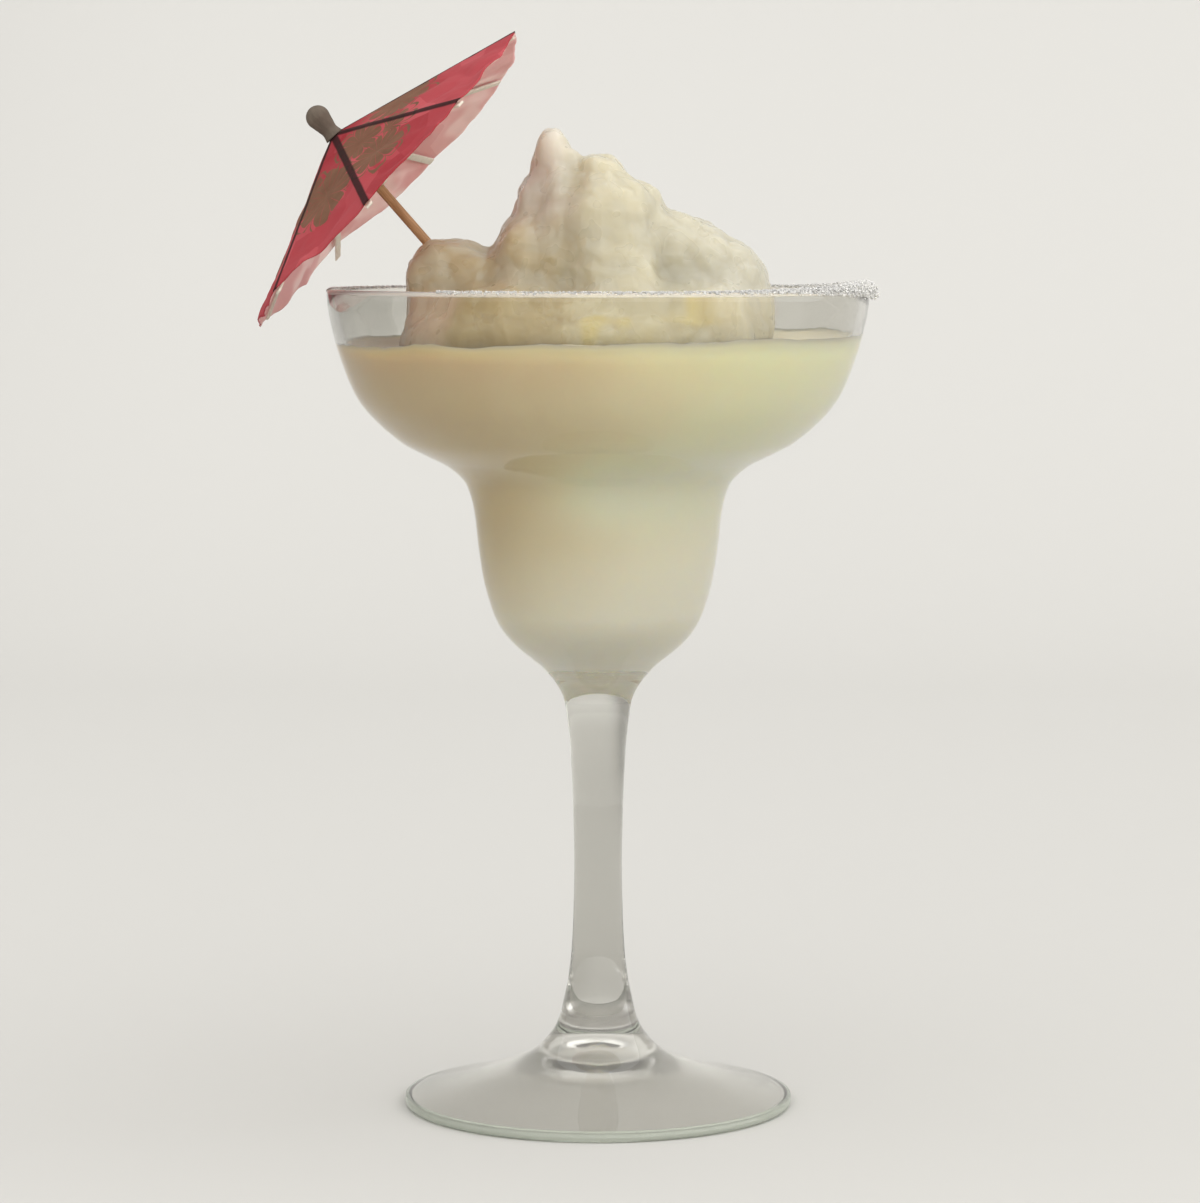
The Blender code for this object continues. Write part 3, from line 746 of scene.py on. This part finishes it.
def make_salt():
    """Crystals in a thin scatter along the lip, heaped into a crust at the drink's right."""
    dice = random.Random(SALT_SEED)
    sides = ((0, 1, 3, 2), (4, 6, 7, 5), (0, 4, 5, 1), (2, 3, 7, 6), (0, 2, 6, 4), (1, 5, 7, 3))
    verts, faces = crust_mesh()
    whole = len(faces) + SALT_GRAINS * len(sides)
    while len(faces) < whole:
        turn_deg = dice.uniform(SALT_START_DEG, SALT_END_DEG)
        depth = salt_depth(turn_deg)
        patch = 0.5 + 0.5 * noise.noise(Vector((turn_deg / SALT_PATCH_DEG, 0, 0)))
        if dice.random() > SALT_SCATTER * patch + depth:
            continue
        start = len(verts)
        verts += grain_corners(dice, turn_deg, depth)
        faces += [tuple(start + i for i in side) for side in sides]
    mesh = bpy.data.meshes.new("salt_crystals")
    mesh.from_pydata([tuple(vert) for vert in verts], [], faces)
    dress(link_piece("salt_crystals", mesh), salt_material(), "salt", "salt_rim")


def axis_matrix(lean_deg):
    """The umbrella's tip with +Z up along the axis, -Y to the front and +X to the upper right."""
    back = Matrix.Rotation(math.radians(-UMBRELLA_BACK_DEG), 4, "X")
    lean = Matrix.Rotation(math.radians(-lean_deg), 4, "Y")
    return Matrix.Translation(UMBRELLA_TIP) @ back @ lean


def rib_direction(turn_deg, angle_deg):
    """Unit direction of a line from the umbrella's tip, in the canopy's own axes."""
    turn, angle = math.radians(turn_deg), math.radians(angle_deg)
    outward = Vector((math.sin(turn), -math.cos(turn), 0))
    return outward * math.sin(angle) + Vector((0, 0, -math.cos(angle)))


def canopy_point(panel, share, slant):
    """A point of the paper between rib number panel and the next, in the canopy's own axes."""
    count = len(RIB_TURNS_DEG)
    start, end = RIB_TURNS_DEG[panel], RIB_TURNS_DEG[(panel + 1) % count]
    end += 360 if end < start else 0
    angle_start, angle_end = RIB_ANGLES_DEG[panel], RIB_ANGLES_DEG[(panel + 1) % count]
    ease = share * share * (3 - 2 * share)
    direction = rib_direction(start + (end - start) * share, angle_start + (angle_end - angle_start) * ease)
    middleness = math.sin(math.pi * share) ** PANEL_FULLNESS if share else 0
    outwardness = slant / CANOPY_SLANT
    dip = PANEL_DIP * outwardness * middleness
    point = direction * slant * (1 - EDGE_HOLLOW * outwardness * middleness) + Vector((0, 0, -dip))
    return point + Vector((0, 0, crumple(point) * outwardness * middleness))


def crumple(point):
    """Height of the paper's creases at a point: sharp folds, with finer ones between them."""
    wide_size, wide_height = WIDE_CREASES
    fine_size, fine_height = FINE_CREASES
    wide = wide_height * abs(noise.noise(point / wide_size))
    fine = fine_height * abs(noise.noise(point / fine_size + Vector((5, 0, 0))))
    return wide + fine - CREASE_SINK


def blossom_mask(shading, offset, chance):
    """A scalloped blossom with veins and an outline about its middle, 0 to 1, turned and sized by chance."""
    wobble = shading.math("MULTIPLY_ADD", shading.noise(5 * MM, 2.0), 3 * MM, -1.5 * MM)
    reach = shading.math("ADD", shading.vector("LENGTH", offset), wobble)
    across, along, _ = shading.axes(offset)
    angle = shading.math("MULTIPLY_ADD", chance[0], math.tau, shading.math("ARCTAN2", along, across))
    lobes = shading.math("ABSOLUTE", shading.math("SINE", shading.math("MULTIPLY", angle, PETALS / 2)))
    scallop = shading.ranged(shading.math("POWER", lobes, 0.5), 0, 1, *BLOSSOM_RADII)
    size = shading.math("MULTIPLY", scallop, shading.ranged(chance[1], 0, 1, *BLOSSOM_SCALES))
    blossom = shading.math("LESS_THAN", reach, size)
    ray = shading.math("ABSOLUTE", shading.math("SINE", shading.math("MULTIPLY", angle, PETALS)))
    past_heart = shading.math("GREATER_THAN", reach, shading.math("MULTIPLY", size, VEIN_START))
    vein = shading.math("MULTIPLY", shading.math("LESS_THAN", ray, VEIN_WIDTH), past_heart)
    filled = shading.math("MULTIPLY", blossom, shading.math("MULTIPLY_ADD", vein, -0.5, 1.0))
    from_outline = shading.math("ABSOLUTE", shading.math("MULTIPLY_ADD", size, -OUTLINE_PLACE, reach))
    return shading.math("MAXIMUM", filled, shading.math("LESS_THAN", from_outline, OUTLINE_WIDTH / 2))


def print_mask(shading):
    """A generic print of scattered blossoms on the paper's middle zone, 0 to 1."""
    flat = shading.flat_place()
    inputs = {"Vector": flat, "Scale": 1 / BLOSSOM_SPACING, "Randomness": BLOSSOM_SCATTER}
    cells = shading.add("ShaderNodeTexVoronoi", inputs).outputs
    chance = shading.add("ShaderNodeSeparateColor", {"Color": cells["Color"]}).outputs
    start, end = BLOSSOM_ZONE
    heart = shading.vector("LENGTH", cells["Position"])
    past_start, before_end = shading.math("GREATER_THAN", heart, start), shading.math("LESS_THAN", heart, end)
    shown = shading.math("MULTIPLY", past_start, before_end)
    offset = shading.vector("SUBTRACT", flat, cells["Position"])
    return shading.math("MULTIPLY", blossom_mask(shading, offset, chance), shown)


def rib_shadow_mask(shading):
    """1 over the card ribs, whose painted shadow shows through the paper as dark lines, and 0 between them.
    """
    nearest = 1.0
    for turn_deg, angle_deg in zip(RIB_TURNS_DEG, RIB_ANGLES_DEG):
        direction = tuple(rib_direction(turn_deg, angle_deg))
        away = shading.vector("LENGTH", shading.vector("CROSS_PRODUCT", shading.place, direction))
        nearest = shading.math("MINIMUM", nearest, away)
    return shading.ranged(nearest, RIB_WIDTH * 0.68, RIB_WIDTH * 0.4)


def paper_bump(shading):
    fibre = shading.noise(1.3 * MM, 3.0, 0.6)
    return shading.bump(fibre, 0.08 * MM, 0.4)


def facet_shade_patches(shading):
    """Flat patches between the paper's creases, each with a number from 0 to 1 that paints light and shade on
    it.
    """
    inputs = {"Vector": shading.place, "Scale": 1 / PATCH_SIZE, "Randomness": 1.0}
    cells = shading.add("ShaderNodeTexVoronoi", inputs)
    return shading.add("ShaderNodeSeparateColor", {"Color": cells.outputs["Color"]}).outputs[0]


def paper_material():
    shading = Shading("paper_print_look", own_axes=True)
    # The near-black colour is the ribs' painted shadow through the paper
    shaded_facet_red, light, rib = (picture_colour(*c) for c in ((146, 42, 50), (176, 76, 82), (34, 8, 10)))
    # Painted light and shade: each flat patch of the paper gets its own red, as facets turned to and from the
    # light
    red = shading.mix(facet_shade_patches(shading), shaded_facet_red, light)
    # Painted shade: the paper is darker red near the hub, where its layers overlap
    hub_shade_share = shading.ranged(shading.vector("LENGTH", shading.place), 14 * MM, 6 * MM, 0.0, 0.6)
    red = shading.mix(hub_shade_share, red, picture_colour(130, 18, 30))
    ink = shading.mix(shading.noise(3 * MM, 2.0), picture_colour(98, 66, 48), picture_colour(122, 88, 68))
    printed = shading.mix(print_mask(shading), red, ink)
    return shading.surface(
        # Painted shadow: the ribs under the paper are drawn on it as dark lines
        Base_Color=shading.mix(shading.math("MULTIPLY", rib_shadow_mask(shading), 0.94), printed, rib),
        Roughness=0.75,
        Specular_IOR_Level=0.2,
        Subsurface_Weight=0.4,
        Subsurface_Radius=(1.0, 0.5, 0.5),
        Subsurface_Scale=0.5 * MM,
        Normal=paper_bump(shading),
    )


def underside_material():
    shading = Shading("paper_underside_look", own_axes=True)
    # Painted light and shade on the flat patches, as on the outside
    pink = shading.mix(facet_shade_patches(shading), picture_colour(218, 160, 159), picture_colour(228, 180, 178))
    faded = shading.ranged(shading.noise(9 * MM, 1.0), 0.48, 0.64)
    return shading.surface(
        Base_Color=shading.mix(faded, pink, picture_colour(240, 208, 204)),
        Roughness=0.8,
        Subsurface_Weight=0.4,
        Subsurface_Radius=(1.0, 0.6, 0.6),
        Subsurface_Scale=0.5 * MM,
        Normal=paper_bump(shading),
    )


def make_canopy(canopy_axis):
    """The crumpled paper, printed outside. The solidify modifier gives its inside the second material."""
    ring_gap = (CANOPY_SLANT - CANOPY_HOLE) / (CANOPY_RINGS - 1)
    slants = [CANOPY_HOLE + ring_gap * ring for ring in range(CANOPY_RINGS)]
    panels = range(len(RIB_TURNS_DEG))
    columns = [(panel, step / PANEL_COLUMNS) for panel in panels for step in range(PANEL_COLUMNS)]
    verts = [canopy_point(*column, slant) for slant in slants for column in columns]
    count = len(columns)
    faces = []
    for ring in range(CANOPY_RINGS - 1):
        for i in range(count):
            j = (i + 1) % count
            faces.append((ring * count + i, (ring + 1) * count + i, (ring + 1) * count + j, ring * count + j))
    canopy = smooth_piece("canopy_paper", verts, faces)
    settle(canopy, canopy_axis)
    shell = canopy.modifiers.new("Thickness", "SOLIDIFY")
    shell.thickness = PAPER_THICKNESS
    shell.offset = 0
    shell.use_even_offset = False
    shell.material_offset = 1
    canopy.data.materials.append(paper_material())
    dress(canopy, underside_material(), "canopy_paper", "umbrella_canopy")


def card_material(name, dark, light):
    shading = Shading(name, own_axes=True)
    grain = shading.noise(1.2 * MM, 3.0, 0.7, shading.stretched(1, 1, 0.25))
    return shading.surface(
        Base_Color=shading.mix(grain, picture_colour(*dark), picture_colour(*light)),
        Roughness=0.75,
        Normal=shading.bump(grain, 0.1 * MM, 0.5),
    )


def make_strip(name, points, across, width, thickness, place):
    """A flat card strip along the points, wide in the direction across, with softened edges."""
    half = across * (width / 2)
    verts = [corner for point in points for corner in (point - half, point + half)]
    faces = [(2 * i, 2 * i + 1, 2 * i + 3, 2 * i + 2) for i in range(len(points) - 1)]
    strip = smooth_piece(name, verts, faces)
    settle(strip, place)
    shell = strip.modifiers.new("Thickness", "SOLIDIFY")
    shell.thickness = thickness
    shell.offset = 0
    shell.use_even_offset = False
    bevel = strip.modifiers.new("Edges", "BEVEL")
    bevel.width = thickness * 0.25
    bevel.segments = 2
    bevel.limit_method = "ANGLE"
    return strip


def make_ribs(card, canopy_axis, stick_axis):
    down = canopy_axis.to_3x3().inverted() @ Vector((0, 0, -1))
    to_canopy = canopy_axis.inverted() @ stick_axis
    for number, (turn_deg, angle_deg) in enumerate(zip(RIB_TURNS_DEG, RIB_ANGLES_DEG)):
        turn = math.radians(turn_deg)
        across = Vector((math.cos(turn), math.sin(turn), 0))
        direction = rib_direction(turn_deg, angle_deg)
        below = across.cross(direction)
        below = below if below.z < 0 else -below
        ends = (RIB_START, FAR_RIB_ENDS.get(number, RIB_END))
        points = [direction * slant + below * RIB_DROP for slant in ends]
        if number == LOOSE_RIB:
            points.append(points[-1] + down * LOOSE_END)
        rib = make_strip(f"rib_card_{number + 1}", points, across, RIB_WIDTH, RIB_THICKNESS, canopy_axis)
        dress(rib, card, "pale_card", f"umbrella_rib_{number + 1}")
        outward = Vector((math.sin(turn), -math.cos(turn), 0)) * STRUT_START
        foot = to_canopy @ (outward + Vector((0, 0, -RUNNER_DEPTH)))
        head = direction * STRUT_REACH + below * (RIB_DROP + STRUT_DROP)
        name = f"strut_card_{number + 1}"
        strut = make_strip(name, [foot, head], across, STRUT_WIDTH, STRUT_THICKNESS, canopy_axis)
        dress(strut, card, "pale_card", f"umbrella_strut_{number + 1}")


def stick_material():
    shading = Shading("stick_look", own_axes=True)
    grain = shading.noise(0.5 * MM, 4.0, 0.65, shading.stretched(1, 1, 0.06))
    dark, light = picture_colour(148, 106, 66), picture_colour(198, 156, 112)
    return shading.surface(
        Base_Color=shading.mix(shading.ranged(grain, 0.3, 0.7), dark, light),
        Roughness=0.55,
        Normal=shading.bump(grain, 0.06 * MM, 0.5),
    )


def make_stick(stick_axis):
    """A round stick with a softened top and a pointed foot."""
    bottom = -STICK_LENGTH
    outline = [(0, 0), (STICK_RADIUS * 0.9, 0), (STICK_RADIUS, -0.3 * MM)]
    outline += [(STICK_RADIUS, bottom + STICK_POINT), (0.2 * MM, bottom), (0, bottom)]
    stick = turned("stick_wood", outline, RING_SIDES)
    settle(stick, stick_axis)
    dress(stick, stick_material(), "stick_wood", "umbrella_stick")


def make_knob(stick_axis):
    """A ball on a waisted neck, turned from rolled card."""
    ball_height = KNOB_HEIGHT - KNOB_RADIUS
    ball = arc(Vector((0, ball_height)), KNOB_RADIUS, 90, -20, 16)
    side = [ball[-1], Vector((KNOB_MIDDLE, ball_height * 0.5)), Vector((KNOB_WAIST, ball_height * 0.22))]
    neck = smooth_line(side + [Vector((KNOB_NECK, KNOB_FOOT))], 6)
    knob = turned("knob_card", ball + neck[1:] + [Vector((0, KNOB_FOOT))], KNOB_SIDES)
    settle(knob, stick_axis)
    dress(knob, card_material("knob_look", (70, 60, 50), (114, 100, 86)), "knob_card", "umbrella_knob")


def make_ring(name, node, depth, height, card, stick_axis):
    """A card ring about the stick, with softened outer edges."""
    top, bottom = -depth + height / 2, -depth - height / 2
    outline = [(RING_BORE, top), (RING_RADIUS - RING_EDGE, top), (RING_RADIUS, top - RING_EDGE)]
    outline += [(RING_RADIUS, bottom + RING_EDGE), (RING_RADIUS - RING_EDGE, bottom)]
    outline += [(RING_BORE, bottom), (RING_BORE, top)]
    ring = turned(name, outline, RING_SIDES)
    settle(ring, stick_axis)
    dress(ring, card, "pale_card", node)


def make_umbrella():
    canopy_axis = axis_matrix(CANOPY_LEAN_DEG)
    stick_axis = axis_matrix(STICK_LEAN_DEG)
    card = card_material("pale_card_look", (200, 188, 172), (232, 223, 210))
    make_stick(stick_axis)
    make_knob(stick_axis)
    make_ring("hub_card", "umbrella_hub", HUB_DEPTH, HUB_HEIGHT, card, stick_axis)
    make_ring("runner_card", "umbrella_runner", RUNNER_DEPTH, RUNNER_HEIGHT, card, stick_axis)
    make_ribs(card, canopy_axis, stick_axis)
    make_canopy(canopy_axis)


def make_stage():
    """A pale floor that curves up into a backdrop behind the glass."""
    bend_start = STAGE_BACK - STAGE_BEND
    line = [Vector((STAGE_FRONT, 0)), Vector((bend_start, 0))]
    line += arc(Vector((bend_start, STAGE_BEND)), STAGE_BEND, -90, 0, 24)[1:]
    line.append(Vector((STAGE_BACK, STAGE_HEIGHT)))
    verts = [(side * STAGE_REACH, point.x, point.y) for point in line for side in (-1, 1)]
    faces = [(2 * i, 2 * i + 1, 2 * i + 3, 2 * i + 2) for i in range(len(line) - 1)]
    stage = smooth_piece("stage", verts, faces)
    shading = Shading("stage_look")
    dark, light = picture_colour(154, 153, 150), picture_colour(200, 199, 196)
    colour = shading.mix(shading.ranged(shading.axes()[0], *STAGE_SHADE), dark, light)
    stage.data.materials.append(shading.surface(Base_Color=colour, Roughness=0.9, Specular_IOR_Level=0.1))


def make_world():
    """Soft light from all round, brighter from the right, from the front and from above."""
    world = bpy.data.worlds.new("soft_light")
    bpy.context.scene.world = world
    world.use_nodes = True
    tree = world.node_tree
    background = tree.nodes["Background"]
    place = tree.nodes.new("ShaderNodeTexCoord")
    lean = tree.nodes.new("ShaderNodeVectorMath")
    lean.operation = "DOT_PRODUCT"
    lean.inputs[1].default_value = LIGHT_LEAN
    tree.links.new(place.outputs["Generated"], lean.inputs[0])
    light = tree.nodes.new("ShaderNodeMapRange")
    light.interpolation_type = "SMOOTHSTEP"
    names = ("From Min", "From Max", "To Min", "To Max")
    for name, value in zip(names, (-LIGHT_SPREAD, LIGHT_SPREAD, *LIGHT_STRENGTHS)):
        light.inputs[name].default_value = value
    tree.links.new(lean.outputs["Value"], light.inputs["Value"])
    tree.links.new(light.outputs[0], background.inputs["Strength"])
    background.inputs["Color"].default_value = LIGHT_COLOUR


def make_camera():
    lens = bpy.data.cameras.new("camera")
    lens.sensor_width = SENSOR_MM
    lens.lens = SENSOR_MM * FOCAL_PX / PHOTO_HEIGHT_PX
    camera = bpy.data.objects.new("camera", lens)
    camera.location = CAMERA_PLACE
    camera.rotation_euler = (math.radians(90 - CAMERA_DOWN_DEG), 0, 0)
    bpy.context.scene.collection.objects.link(camera)
    bpy.context.scene.camera = camera


def set_looks():
    bpy.context.scene.view_settings.view_transform = "Standard"


make_camera()
make_world()
set_looks()
make_stage()
make_glass()
make_drink()
make_mound()
make_salt()
make_umbrella()
